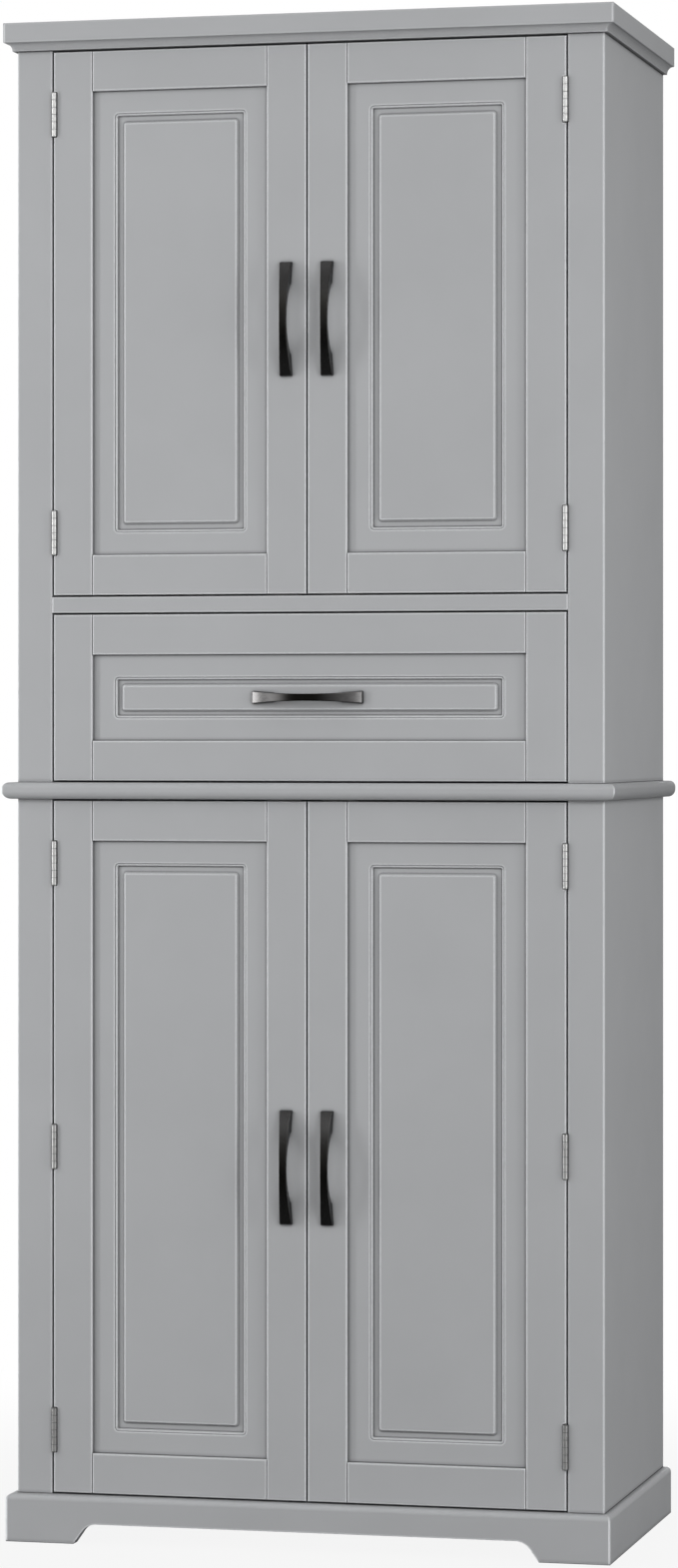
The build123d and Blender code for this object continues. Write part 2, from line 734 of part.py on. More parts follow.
def front_panel(x, z, groove_width, handle_holes):
    """The panel of a framed front, with a stepped groove run around its field."""
    reach = frame_width - tongue + panel_float
    centre = ((x[0] + x[1]) / 2, (z[0] + z[1]) / 2)
    width = x[1] - x[0] - 2 * (frame_width + groove_margin)
    height = z[1] - z[0] - 2 * (frame_width + groove_margin)

    def ring(inset, radius):
        with Locations(centre):
            RectangleRounded(width - 2 * inset, height - 2 * inset, radius)

    with BuildPart() as panel:
        board((x[0] + reach, x[1] - reach), (panel_front, panel_back),
              (z[0] + reach, z[1] - reach))
        with BuildSketch(Plane.XZ.offset(-panel_front)):
            ring(0, groove_outer_radius)
        extrude(amount=-groove_step, mode=Mode.SUBTRACT)
        with BuildSketch(Plane.XZ.offset(-panel_front - groove_step)):
            ring(groove_ledge, groove_outer_radius - groove_ledge)
        with BuildSketch(Plane.XZ.offset(-panel_front - groove_depth)):
            ring(groove_ledge + groove_wall, groove_outer_radius - groove_ledge - groove_wall)
        loft(mode=Mode.SUBTRACT)
        with BuildSketch(Plane.XZ.offset(-panel_front - groove_depth)):
            ring(groove_width - groove_rise, groove_inner_radius + groove_rise)
        with BuildSketch(Plane.XZ.offset(-panel_front)):
            ring(groove_width, groove_inner_radius)
        loft()
        ledge_rims = [edge for edge in panel.edges().filter_by_position(
                          Axis.Y, panel_front + groove_step - 0.01, panel_front + groove_step + 0.01)
                      if abs(edge.center().X - centre[0]) < width / 2 - groove_ledge + 0.1
                      and abs(edge.center().Z - centre[1]) < height / 2 - groove_ledge + 0.1]
        fillet(ledge_rims, groove_edge_radius)
        groove_rims = [edge for edge in panel.edges().group_by(Axis.Y)[0]
                       if abs(edge.center().X - centre[0]) < width / 2 + 1
                       and abs(edge.center().Z - centre[1]) < height / 2 + 1]
        fillet(groove_rims, groove_edge_radius)
        for hole_x, hole_z in handle_holes:
            bore((hole_x, panel_back, hole_z), (0, -1, 0), handle_screw_radius + through_play,
                 panel_thickness)
    return panel


def bow_handle(foot, along):
    """A bow pull on the face through foot; along is the direction of its length."""
    outward = Vector(0, -1, 0)
    run = Vector(*along)
    half = handle_length / 2
    foot_start = half - handle_foot
    with BuildPart() as handle:
        with BuildSketch(Plane(origin=foot, x_dir=run, z_dir=run.cross(outward))):
            with BuildLine():
                ThreePointArc((-half, handle_end_thickness), (0, handle_reach),
                              (half, handle_end_thickness))
                Polyline((half, handle_end_thickness), (half, 0), (foot_start, 0))
                ThreePointArc((foot_start, 0), (0, handle_reach - handle_bar_thickness),
                              (-foot_start, 0))
                Polyline((-foot_start, 0), (-half, 0), (-half, handle_end_thickness))
            make_face()
        extrude(amount=handle_end_width / 2, both=True)
        with BuildSketch(Plane(origin=foot, x_dir=run, z_dir=outward)):
            with BuildLine():
                for edge_side in (-1, 1):
                    ThreePointArc((-half, edge_side * handle_end_width / 2),
                                  (0, edge_side * handle_waist_width / 2),
                                  (half, edge_side * handle_end_width / 2))
                for end in (-half, half):
                    Line((end, -handle_end_width / 2), (end, handle_end_width / 2))
            make_face()
        extrude(amount=handle_reach, mode=Mode.INTERSECT)
        fillet(handle.faces().sort_by(Axis.Y)[0].edges(), handle_edge_radius)
        for end in (-1, 1):
            start = Vector(*foot) + run * (end * handle_hole_spacing / 2)
            bore(start, outward, handle_screw_radius + screw_play,
                 handle_screw_bite + screw_play)
    return handle


door_handle_screw = round_head_screw(handle_screw_head, handle_screw_head_height,
                                     handle_screw_radius, front_thickness + handle_screw_bite)


def door_fittings(side, z, hinge_list, handle_holes, strike_z):
    """Handle screws, leaf screws and the catch's strike plate of one door."""
    with BuildPart() as fittings:
        for hole_x, hole_z in handle_holes:
            place(door_handle_screw, (hole_x, front_back, hole_z), (0, -1, 0))
        for level in hinge_list:
            for offset in (-leaf_screw_offset, leaf_screw_offset):
                place(leaf_screw, (side * door_leaf_x[1], leaf_screw_y, level + offset),
                      (-side, 0, 0))
        x = side * catch_offset
        board((x - strike_width / 2, x + strike_width / 2),
              (front_back, front_back + strike_thickness),
              (strike_z - strike_height / 2, strike_z + strike_height / 2))
    return fittings


def make_door(name, side, z, hinge_list, handle_level, strike_z):
    """All the pieces of one door, hinged on the given side."""
    x = (door_inner, door_outer) if side == RIGHT else (-door_outer, -door_inner)
    handle_x = side * (door_inner + frame_width / 2)
    handle_holes = [(handle_x, handle_level + end * handle_hole_spacing / 2) for end in (-1, 1)]
    save(front_stiles(x, z, side, hinge_list, handle_holes, []), f"{name}_stiles")
    save(front_rails(x, z), f"{name}_rails")
    save(front_panel(x, z, door_groove_width, []), f"{name}_panel")
    save(bow_handle((handle_x, face, handle_level), (0, 0, 1)), f"{name}_handle")
    with BuildPart() as door_leaves:
        for level in hinge_list:
            with Locations((0, 0, level)):
                add(on_side(door_leaf, side))
    save(door_leaves, f"{name}_hinge_leaves")
    save(door_fittings(side, z, hinge_list, handle_holes, strike_z), f"{name}_fittings")


for side in (LEFT, RIGHT):
    make_door(f"upper_{SIDE_NAMES[side]}_door", side, (upper_door_bottom, upper_door_top),
              upper_hinges, (upper_door_bottom + upper_door_top) / 2,
              upper_door_bottom + strike_edge + strike_height / 2)
    make_door(f"lower_{SIDE_NAMES[side]}_door", side, (lower_door_bottom, lower_door_top),
              lower_hinges, lower_door_bottom + lower_handle_height,
              lower_door_top - strike_edge - strike_height / 2)

# ================================================================ drawer

drawer_x = (-door_outer, door_outer)
drawer_z = (drawer_front_bottom, drawer_front_top)
drawer_handle_holes = [(end * handle_hole_spacing / 2, drawer_level) for end in (-1, 1)]

front_screw_points = [(side * (door_outer - box_screw_inset), box_bottom + rise)
                      for side in (LEFT, RIGHT) for rise in box_screw_rises]

save(front_stiles(drawer_x, drawer_z, RIGHT, [], [], front_screw_points), "drawer_front_stiles")
save(front_rails(drawer_x, drawer_z), "drawer_front_rails")
save(front_panel(drawer_x, drawer_z, drawer_groove_width, drawer_handle_holes),
     "drawer_front_panel")
save(bow_handle((0, panel_front, drawer_level), (1, 0, 0)), "drawer_handle")

box_front_back = front_back + box_board
base_z = (box_bottom + box_base_lift, box_bottom + box_base_lift + box_base_thickness)
base_half = box_half - box_board + box_base_groove
base_y = (box_front_back - box_base_groove, box_back - box_board + box_base_groove)
runner_screw_y = [front_back + setback for setback in runner_screw_setback]


def grown(limits, margin):
    return limits[0] - margin, limits[1] + margin


def base_groove():
    """The groove for the base, in all four boards of the drawer box."""
    board(grown((-base_half, base_half), box_base_play), grown(base_y, box_base_play),
          grown(base_z, box_base_play), mode=Mode.SUBTRACT)


with BuildPart() as drawer_base:
    board((-base_half, base_half), base_y, base_z)
save(drawer_base, "drawer_base")

with BuildPart() as drawer_sides:
    for side in (LEFT, RIGHT):
        board((side * (box_half - box_board), side * box_half), (front_back, box_back),
              (box_bottom, box_top))
        for y in runner_screw_y:
            bore((side * box_half, y, runner_level), (-side, 0, 0),
                 small_screw_radius + screw_play, runner_screw_length)
    base_groove()
save(drawer_sides, "drawer_sides")

with BuildPart() as drawer_box_ends:
    end_half = box_half - box_board
    for y in ((front_back, box_front_back), (box_back - box_board, box_back)):
        board((-end_half, end_half), y, (box_bottom, box_top))
    base_groove()
    for x, level in front_screw_points:
        bore((x, box_front_back, level), (0, -1, 0), small_screw_radius + screw_play, box_board)
    for x, level in drawer_handle_holes:
        bore((x, box_front_back, level), (0, -1, 0), handle_screw_radius + through_play,
             box_board)
save(drawer_box_ends, "drawer_box_ends")

# ---------------------------------------------------------------- telescopic runners

runner_y = (front_back + runner_setback, front_back + runner_setback + runner_length)
packer_face = opening_half


def channel(side, web_x, lip_x, half_height):
    """A rolled channel along Y: an upright web, with a flange above and below."""
    near = web_x - runner_sheet
    board((side * near, side * web_x), runner_y,
          (runner_level - half_height, runner_level + half_height))
    for end in (-1, 1):
        outer = runner_level + end * half_height
        board((side * lip_x[0], side * lip_x[1]), runner_y, (outer - end * runner_sheet, outer))


def ball_cages(side, x, member_top, track_top):
    """The cages above and below a member, which keep it running true in the next one."""
    for end in (-1, 1):
        board((side * (x[0] + cage_inset), side * (x[1] - cage_inset)), runner_y,
              (runner_level + end * member_top, runner_level + end * (track_top - runner_gap)))


outer_half_height = runner_height / 2
inner_web = box_half + runner_sheet
middle_web = packer_face - middle_web_offset
outer_lip = (box_half + flange_gap, packer_face)
middle_lip = (inner_web + runner_gap, middle_web)
inner_lip = (box_half, middle_web - runner_sheet - runner_gap)

with BuildPart() as runner_outer_members:
    for side in (LEFT, RIGHT):
        channel(side, packer_face, outer_lip, outer_half_height)
        for y in runner_screw_y:
            bore((side * packer_face, y, runner_level), (-side, 0, 0),
                 small_screw_radius + screw_play, runner_sheet)
save(runner_outer_members, "runner_outer_members")

with BuildPart() as runner_middle_members:
    for side in (LEFT, RIGHT):
        channel(side, middle_web, middle_lip, middle_half_height)
        ball_cages(side, middle_lip, middle_half_height, outer_half_height - runner_sheet)
save(runner_middle_members, "runner_middle_members")

with BuildPart() as runner_inner_members:
    for side in (LEFT, RIGHT):
        channel(side, inner_web, inner_lip, inner_half_height)
        ball_cages(side, (inner_web + runner_gap, inner_lip[1]), inner_half_height,
                   middle_half_height - runner_sheet)
        for y in runner_screw_y:
            bore((side * inner_web, y, runner_level), (-side, 0, 0),
                 small_screw_radius + screw_play, runner_sheet)
save(runner_inner_members, "runner_inner_members")

with BuildPart() as drawer_packers:
    for side in (LEFT, RIGHT):
        board((side * packer_face, side * inner_half), (face + case_board, inside_rear),
              (runner_level - packer_height / 2, runner_level + packer_height / 2))
        for y in runner_screw_y:
            bore((side * packer_face, y, runner_level), (side, 0, 0),
                 small_screw_radius + screw_play, packer_screw_length)
save(drawer_packers, "drawer_packers")

# ---------------------------------------------------------------- screws of case and drawer

drawer_handle_screw = round_head_screw(
    handle_screw_head, handle_screw_head_height, handle_screw_radius,
    box_front_back - panel_front + handle_screw_bite)

with BuildPart() as drawer_screws:
    for x, level in drawer_handle_holes:
        place(drawer_handle_screw, (x, box_front_back, level), (0, -1, 0))
    for x, level in front_screw_points:
        place(box_screw, (x, box_front_back, level), (0, -1, 0))
    for side in (LEFT, RIGHT):
        for y in runner_screw_y:
            place(runner_screw, (side * inner_web, y, runner_level), (-side, 0, 0))
save(drawer_screws, "drawer_screws")

with BuildPart() as case_screws:
    for side, level in ALL_HINGES:
        for offset in (-leaf_screw_offset, leaf_screw_offset):
            place(leaf_screw, (side * frame_leaf_x[0], leaf_screw_y, level + offset),
                  (side, 0, 0))
    for level, up in CATCH_SEATS:
        for x in catch_screw_x:
            place(catch_screw, (x, catch_front + catch_depth / 2, level + up * catch_height),
                  (0, 0, -up))
    for side in (LEFT, RIGHT):
        for y in runner_screw_y:
            place(packer_screw, (side * (packer_face - runner_sheet), y, runner_level),
                  (side, 0, 0))
save(case_screws, "case_screws")
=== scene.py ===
"""Looks of the pantry cabinet: painted board, dark brushed handles, nickel hinges and a plain studio."""

import json
import math

import bmesh
import bpy
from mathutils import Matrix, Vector


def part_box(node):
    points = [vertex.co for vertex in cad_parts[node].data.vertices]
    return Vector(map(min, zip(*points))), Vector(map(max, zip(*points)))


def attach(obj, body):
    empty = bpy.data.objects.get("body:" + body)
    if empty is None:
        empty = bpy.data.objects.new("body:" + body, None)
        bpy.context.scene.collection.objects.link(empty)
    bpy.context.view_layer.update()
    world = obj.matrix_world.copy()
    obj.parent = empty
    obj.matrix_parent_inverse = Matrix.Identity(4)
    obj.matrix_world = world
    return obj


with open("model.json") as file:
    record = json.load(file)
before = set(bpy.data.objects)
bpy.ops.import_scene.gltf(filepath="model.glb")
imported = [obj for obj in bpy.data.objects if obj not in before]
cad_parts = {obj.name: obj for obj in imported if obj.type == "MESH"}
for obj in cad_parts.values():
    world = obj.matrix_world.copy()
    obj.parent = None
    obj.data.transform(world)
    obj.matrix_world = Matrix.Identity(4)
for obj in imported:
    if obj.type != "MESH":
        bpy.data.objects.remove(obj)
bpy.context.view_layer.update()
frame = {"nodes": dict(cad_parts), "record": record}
nodes = frame["nodes"]
scene = bpy.context.scene

# ---------------------------------------------------------------- camera

CAMERA_PLACE = (1.4607, -5.9851, 0.9764)
CAMERA_TURN = 13.774  # degrees to the left of straight ahead
CAMERA_LENS, CAMERA_SENSOR = 114.95, 36.0  # millimetres
CAMERA_SHIFT = -0.0324  # of the view's height
CAMERA_FAR = 60.0


def make_camera():
    data = bpy.data.cameras.new("camera")
    data.lens = CAMERA_LENS
    data.sensor_width = CAMERA_SENSOR
    data.shift_y = CAMERA_SHIFT
    data.clip_end = CAMERA_FAR
    camera = bpy.data.objects.new("camera", data)
    camera.location = CAMERA_PLACE
    camera.rotation_euler = (math.radians(90), 0, math.radians(CAMERA_TURN))
    scene.collection.objects.link(camera)
    scene.camera = camera


make_camera()

# ---------------------------------------------------------------- shader helpers

FLOAT, VECTOR = "NodeSocketFloat", "NodeSocketVector"
NOISE_SPAN = (0.3, 0.7)  # where nearly all the values of a noise lie
WHOLE = (0.0, 1.0)


def add_node(tree, kind, inputs=None, **settings):
    """A new node with the given properties and, by name, its inputs' values or links."""
    node = tree.nodes.new(kind)
    for name, value in settings.items():
        setattr(node, name, value)
    for name, value in (inputs or {}).items():
        feed(tree, node.inputs[name], value)
    return node


def feed(tree, socket, value):
    """Link an input to another node's output, or set the input's own value."""
    if isinstance(value, bpy.types.NodeSocket):
        tree.links.new(value, socket)
    else:
        socket.default_value = value


def maths(tree, operation, *values):
    """The result of one operation on outputs and plain numbers."""
    node = add_node(tree, "ShaderNodeMath", operation=operation)
    for socket, value in zip(node.inputs, values):
        feed(tree, socket, value)
    return node.outputs["Value"]


def mapped(tree, value, span, target, **settings):
    """A value taken from one span to another, held at its ends."""
    node = add_node(tree, "ShaderNodeMapRange", **settings,
                    inputs={"Value": value, "From Min": span[0], "From Max": span[1],
                            "To Min": target[0], "To Max": target[1]})
    return node.outputs["Result"]


def dimmed(tree, colour, amount):
    """A colour times an amount."""
    node = add_node(tree, "ShaderNodeVectorMath", operation="SCALE", inputs={"Scale": amount})
    feed(tree, node.inputs[0], colour)
    return node.outputs["Vector"]


def blended(tree, share, first, second):
    """The first colour going over to the second as the share rises."""
    node = add_node(tree, "ShaderNodeMix", data_type="RGBA")
    # a Mix node keeps its colours after the numbers and vectors of its other types
    feed(tree, node.inputs[0], share)
    for socket, colour in zip(node.inputs[6:8], (first, second)):
        feed(tree, socket, (*colour, 1) if isinstance(colour, tuple) else colour)
    return node.outputs[2]


def noise(tree, place, scale, **inputs):
    """A noise at a place."""
    node = add_node(tree, "ShaderNodeTexNoise", inputs={"Vector": place, "Scale": scale, **inputs})
    return node.outputs["Fac"]


def object_place(tree):
    """The place on the piece."""
    return add_node(tree, "ShaderNodeTexCoord").outputs["Object"]


def stretched_place(tree, along, lengthwise, across):
    """The place on the piece, scaled by one number along an axis and by another across it."""
    node = add_node(tree, "ShaderNodeMapping", inputs={"Vector": object_place(tree)})
    node.inputs["Scale"].default_value = [lengthwise if axis == along else across for axis in range(3)]
    return node.outputs["Vector"]


def part_of(tree, vector, axis):
    """One part of a vector."""
    return add_node(tree, "ShaderNodeSeparateXYZ", inputs={"Vector": vector}).outputs[axis]


def closed_in(tree, distance, samples, full, **settings):
    """How far a spot is closed in by what lies within a distance: 1 where no more than `full` stays open."""
    node = add_node(tree, "ShaderNodeAmbientOcclusion", samples=samples, inputs={"Distance": distance},
                    **settings)
    return mapped(tree, node.outputs["AO"], (1.0, full), WHOLE)


def bump(tree, shader, height, strength, distance, under=None, **settings):
    """Bump a shader's surface, over the normal of an effect if one is given."""
    node = add_node(tree, "ShaderNodeBump", **settings,
                    inputs={"Height": height, "Strength": strength, "Distance": distance})
    if under:
        feed(tree, node.inputs["Normal"], under)
    feed(tree, shader.inputs["Normal"], node.outputs["Normal"])


def new_group(name, inputs, outputs):
    """An empty node group with named sockets: inputs are (name, type, value), outputs (name, type)."""
    group = bpy.data.node_groups.new(name, "ShaderNodeTree")
    for socket, kind, value in inputs:
        made = group.interface.new_socket(socket, in_out="INPUT", socket_type=kind)
        made.default_value = value
    for socket, kind in outputs:
        group.interface.new_socket(socket, in_out="OUTPUT", socket_type=kind)
    return group, group.nodes.new("NodeGroupInput").outputs, group.nodes.new("NodeGroupOutput").inputs


def place_group(tree, group, inputs=None):
    """A node group's outputs in a tree."""
    node = tree.nodes.new("ShaderNodeGroup")
    node.node_tree = group
    for name, value in (inputs or {}).items():
        feed(tree, node.inputs[name], value)
    return node.outputs


def new_material(name, colour, metallic=0.0, roughness=0.5):
    """A material with a Principled shader whose plain numbers are set on its own sockets."""
    material = bpy.data.materials.new(name)
    material.use_nodes = True
    tree = material.node_tree
    shader = tree.nodes["Principled BSDF"]
    shader.inputs["Base Color"].default_value = (*colour, 1)
    shader.inputs["Metallic"].default_value = metallic
    shader.inputs["Roughness"].default_value = roughness
    return material, tree, shader


def painted_colour(material):
    """A finished material's tree, its shader's colour input and what feeds that now."""
    socket = material.node_tree.nodes["Principled BSDF"].inputs["Base Color"]
    return material.node_tree, socket, socket.links[0].from_socket


# ---------------------------------------------------------------- shared effects


FLECKS_PER_METRE, PORES_PER_METRE = 900.0, 1400.0
EDGE_SAMPLES, FINE_SAMPLES = 6, 4
CLOSED_ARRIS, CLOSED_RECESS, CLOSED_SEAM = 0.65, 0.4, 0.6  # what is left open where each counts in full
LEVEL_ARRIS = 0.3  # a level arris gets this share of the painted highlight that an upright one gets, as the lamps stand at the sides


def make_paint_film():
    """Sprayed paint: a faint mottle in its tone, the orange peel of its surface, and flecks in its gloss."""
    group, given, out = new_group(
        "paint_film",
        [("Peel Size", FLOAT, 0.004), ("Mottle Size", FLOAT, 0.12)],
        [("Peel", FLOAT), ("Mottle", FLOAT), ("Flecks", FLOAT)],
    )
    place = object_place(group)
    for effect, detail in (("Peel", 2.0), ("Mottle", 3.0)):
        per_metre = maths(group, "DIVIDE", 1.0, given[effect + " Size"])
        feed(group, out[effect], noise(group, place, per_metre, Detail=detail, Roughness=0.55))
    feed(group, out["Flecks"], noise(group, place, FLECKS_PER_METRE, Detail=1.0))
    return group


def make_edges():
    """Masks for painted light where a board turns: its arrises, for a painted highlight that is strongest
    on uprights; its recesses, for painted shade; and a normal that eases it over.

    Seam is the fine line where two boards meet, for the painted shade in the gap between them.
    """
    group, given, out = new_group(
        "edges",
        [("Radius", FLOAT, 0.001), ("Reach", FLOAT, 0.012), ("Seam Width", FLOAT, 0.0015)],
        [("Arris", FLOAT), ("Recess", FLOAT), ("Seam", FLOAT), ("Normal", VECTOR)],
    )
    rounding = add_node(group, "ShaderNodeBevel", samples=FINE_SAMPLES, inputs={"Radius": given["Radius"]})
    eased = rounding.outputs["Normal"]
    arris = closed_in(group, given["Radius"], EDGE_SAMPLES, CLOSED_ARRIS, inside=True, only_local=True)
    level = maths(group, "ABSOLUTE", part_of(group, eased, "Z"))
    # the painted highlight is weaker on level arrises, since the lamps at the sides light the upright ones
    upright = mapped(group, level, (0.0, 0.5), (1.0, LEVEL_ARRIS))
    feed(group, out["Arris"], maths(group, "MULTIPLY", arris, upright))
    feed(group, out["Recess"], closed_in(group, given["Reach"], EDGE_SAMPLES, CLOSED_RECESS))
    feed(group, out["Seam"], closed_in(group, given["Seam Width"], FINE_SAMPLES, CLOSED_SEAM))
    feed(group, out["Normal"], eased)
    return group


def make_timber_figure():
    """Straight-grained timber: growth bands across the board and short dark pores along it."""
    group, given, out = new_group(
        "timber_figure",
        [("Place", VECTOR, (0, 0, 0)), ("Band Width", FLOAT, 0.012)],
        [("Bands", FLOAT), ("Pores", FLOAT)],
    )
    per_metre = maths(group, "DIVIDE", 1.0, given["Band Width"])
    feed(group, out["Bands"],
         noise(group, given["Place"], per_metre, Detail=4.0, Roughness=0.6, Distortion=0.6))
    pores = noise(group, given["Place"], PORES_PER_METRE, Detail=2.0)
    feed(group, out["Pores"], mapped(group, pores, (0.58, 0.72), WHOLE))
    return group


paint_film = make_paint_film()
edges = make_edges()
timber_figure = make_timber_figure()

# ---------------------------------------------------------------- finishes

PAINT_SPECULAR = 0.15
PAINT_MOTTLE = 0.02  # share that the tone drifts either way
PAINT_GLOSS_DRIFT = 0.03  # and the roughness
PAINT_PEEL = 0.00002  # height of the orange peel
PAINT_EDGE = 0.002  # width over which an arris is eased and over which its painted highlight lies
SEAM_SHADE = 0.85  # painted shade: share of its tone that the paint loses in a seam, the dark gap between boards
FIBRES_PER_METRE, CLOUDS_PER_METRE, CLOUD_SHARE = 420.0, 5.0, 0.35  # of the bare rear of the back
GRAIN_STRETCH = 0.06  # timber's figure is drawn out along the grain
# how much the pores darken timber, and the tone it keeps where pores and painted shade are full
PORE_GRIME, TIMBER_SHADED_TONE = 0.35, 0.55
TIMBER_EDGE, TIMBER_REACH = 0.0008, 0.006
PORE_DEPTH, PORE_STRENGTH = 0.00008, 0.6
SCRATCHES_ALONG, SCRATCHES_ACROSS = 60.0, 2600.0  # per metre of brushed metal
SCRATCH_DEPTH, SCRATCH_STRENGTH = 0.00003, 0.4
SCRATCH_ROUGHNESS = (-0.06, 0.08)  # drift of the roughness from scratch to scratch
RIM_SHADE_TONE = 0.4  # what brushed metal keeps of its tone at its edges, a painted shade like that in the gaps between hinge knuckles
STREAKS_ALONG, STREAKS_ACROSS = 10.0, 900.0  # per metre of a handle
STREAK_DEPTH, STREAK_STRENGTH = 0.00002, 0.15
STREAK_TONE, STREAK_ROUGHNESS = (0.86, 1.14), (-0.03, 0.04)
REFLECTION_FROM, REFLECTION_TO = 0.15, 0.95  # shares of a handle's half length between which its painted reflection rises towards the ends
HANDLE_EDGE = 0.0007
OUTLINE_TONE = 0.35  # what a handle keeps of its tone at its edges, a painted shade


def vary_roughness(tree, shader, grain, roughness, drift):
    """Let a shader's roughness follow a noise, within a drift from its plain value."""
    span = tuple(roughness + change for change in drift)
    feed(tree, shader.inputs["Roughness"], mapped(tree, grain, NOISE_SPAN, span))


def painted(name, colour, roughness, glint=1.1, reach=0.005, shade=0.45):
    """Painted board: its tone drifts a little, its arrises are eased and lightened by a painted highlight,
    and painted shade darkens its recesses and seams.

    Glint is the share that an arris gains by the painted highlight, shade what a recess loses
    by painted shade, reach how far a recess is felt.
    """
    material, tree, shader = new_material(name, colour, roughness=roughness)
    shader.inputs["Specular IOR Level"].default_value = PAINT_SPECULAR
    film = place_group(tree, paint_film)
    turns = place_group(tree, edges, {"Radius": PAINT_EDGE, "Reach": reach})
    tone = mapped(tree, film["Mottle"], NOISE_SPAN, (1 - PAINT_MOTTLE, 1 + PAINT_MOTTLE))
    # a painted highlight on the arrises, painted shade in the recesses and seams
    for effect, change in (("Arris", glint), ("Recess", -shade), ("Seam", -SEAM_SHADE)):
        tone = maths(tree, "MULTIPLY", tone, maths(tree, "MULTIPLY_ADD", turns[effect], change, 1.0))
    feed(tree, shader.inputs["Base Color"], dimmed(tree, colour, tone))
    vary_roughness(tree, shader, film["Flecks"], roughness, (-PAINT_GLOSS_DRIFT, PAINT_GLOSS_DRIFT))
    bump(tree, shader, film["Peel"], 1.0, PAINT_PEEL, under=turns["Normal"])
    return material


def leave_rear_raw(material, fibre, fleck):
    """Leave the face of a board that looks backwards unpainted: bare pressed fibres and their flecks."""
    tree, socket, paint = painted_colour(material)
    place = object_place(tree)
    fibres = noise(tree, place, FIBRES_PER_METRE, Detail=5.0, Roughness=0.7)
    clouds = noise(tree, place, CLOUDS_PER_METRE, Detail=3.0)
    both = maths(tree, "MULTIPLY_ADD", clouds, CLOUD_SHARE, fibres)
    flecked = mapped(tree, both, (0.5, 0.85), WHOLE)
    facing = add_node(tree, "ShaderNodeNewGeometry").outputs["True Normal"]
    rearwards = mapped(tree, part_of(tree, facing, "Y"), (0.4, 0.6), WHOLE)
    feed(tree, socket, blended(tree, rearwards, paint, blended(tree, flecked, fibre, fleck)))


def paint_shade_on_ends(material, kept):
    """Darken a board's left and right ends with painted shade: they keep this share of the tone."""
    tree, socket, paint = painted_colour(material)
    facing = add_node(tree, "ShaderNodeNewGeometry").outputs["Normal"]
    sideways = maths(tree, "ABSOLUTE", part_of(tree, facing, "X"))
    feed(tree, socket, dimmed(tree, paint, mapped(tree, sideways, (0.1, 0.6), (1.0, kept))))


def timber(name, pale, dark, roughness, along):
    """Timber whose grain runs along one axis of the piece, darker in its pores, and in its recesses by
    painted shade.
    """
    material, tree, shader = new_material(name, pale, roughness=roughness)
    figure = place_group(tree, timber_figure, {"Place": stretched_place(tree, along, GRAIN_STRETCH, 1.0)})
    turns = place_group(tree, edges, {"Radius": TIMBER_EDGE, "Reach": TIMBER_REACH})
    grain = blended(tree, mapped(tree, figure["Bands"], NOISE_SPAN, WHOLE), pale, dark)
    # darker pores, and painted shade in the recesses
    pores_and_painted_shade = maths(tree, "MULTIPLY_ADD", figure["Pores"], PORE_GRIME, turns["Recess"])
    feed(tree, shader.inputs["Base Color"],
         dimmed(tree, grain, mapped(tree, pores_and_painted_shade, WHOLE, (1.0, TIMBER_SHADED_TONE))))
    bump(tree, shader, figure["Pores"], PORE_STRENGTH, PORE_DEPTH, under=turns["Normal"], invert=True)
    return material


def brushed(name, colour, roughness, along, rim=0.0):
    """Brushed metal with fine scratches along one axis of the piece, darkened by painted shade within a rim
    of its edges.
    """
    material, tree, shader = new_material(name, colour, metallic=1.0, roughness=roughness)
    place = stretched_place(tree, along, SCRATCHES_ALONG, SCRATCHES_ACROSS)
    scratches = noise(tree, place, 1.0, Detail=3.0)
    vary_roughness(tree, shader, scratches, roughness, SCRATCH_ROUGHNESS)
    bump(tree, shader, scratches, SCRATCH_STRENGTH, SCRATCH_DEPTH)
    if rim:
        turns = place_group(tree, edges, {"Radius": rim})
        feed(tree, shader.inputs["Base Color"],
             dimmed(tree, colour, mapped(tree, turns["Arris"], (0.0, LEVEL_ARRIS), (1.0, RIM_SHADE_TONE))))
    return material


def handle_metal_with_painted_reflection(node, along, waist, ends, roughness):
    """Dark brushed metal of a bow handle: near black at its waist, paler to its ends by a painted reflection
    of the lamps, darker at its edges by painted shade.
    """
    material, tree, shader = new_material(node + "_metal", waist, metallic=1.0, roughness=roughness)
    low, high = (corner[along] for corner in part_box(node))
    middle, half = (low + high) / 2, (high - low) / 2
    beyond = maths(tree, "SUBTRACT", part_of(tree, object_place(tree), along), middle)
    # painted reflection: paler towards both ends
    painted_reflection = mapped(tree, maths(tree, "ABSOLUTE", beyond), (REFLECTION_FROM * half, REFLECTION_TO * half),
                    WHOLE, interpolation_type="SMOOTHSTEP")
    grain = noise(tree, stretched_place(tree, along, STREAKS_ALONG, STREAKS_ACROSS), 1.0, Detail=3.0)
    streaks = mapped(tree, grain, NOISE_SPAN, STREAK_TONE)
    turns = place_group(tree, edges, {"Radius": HANDLE_EDGE})
    # painted shade along the handle's edges
    outline = mapped(tree, turns["Arris"], WHOLE, (1.0, OUTLINE_TONE))
    feed(tree, shader.inputs["Base Color"],
         dimmed(tree, blended(tree, painted_reflection, waist, ends), maths(tree, "MULTIPLY", streaks, outline)))
    vary_roughness(tree, shader, grain, roughness, STREAK_ROUGHNESS)
    bump(tree, shader, grain, STREAK_STRENGTH, STREAK_DEPTH, under=turns["Normal"])
    return material


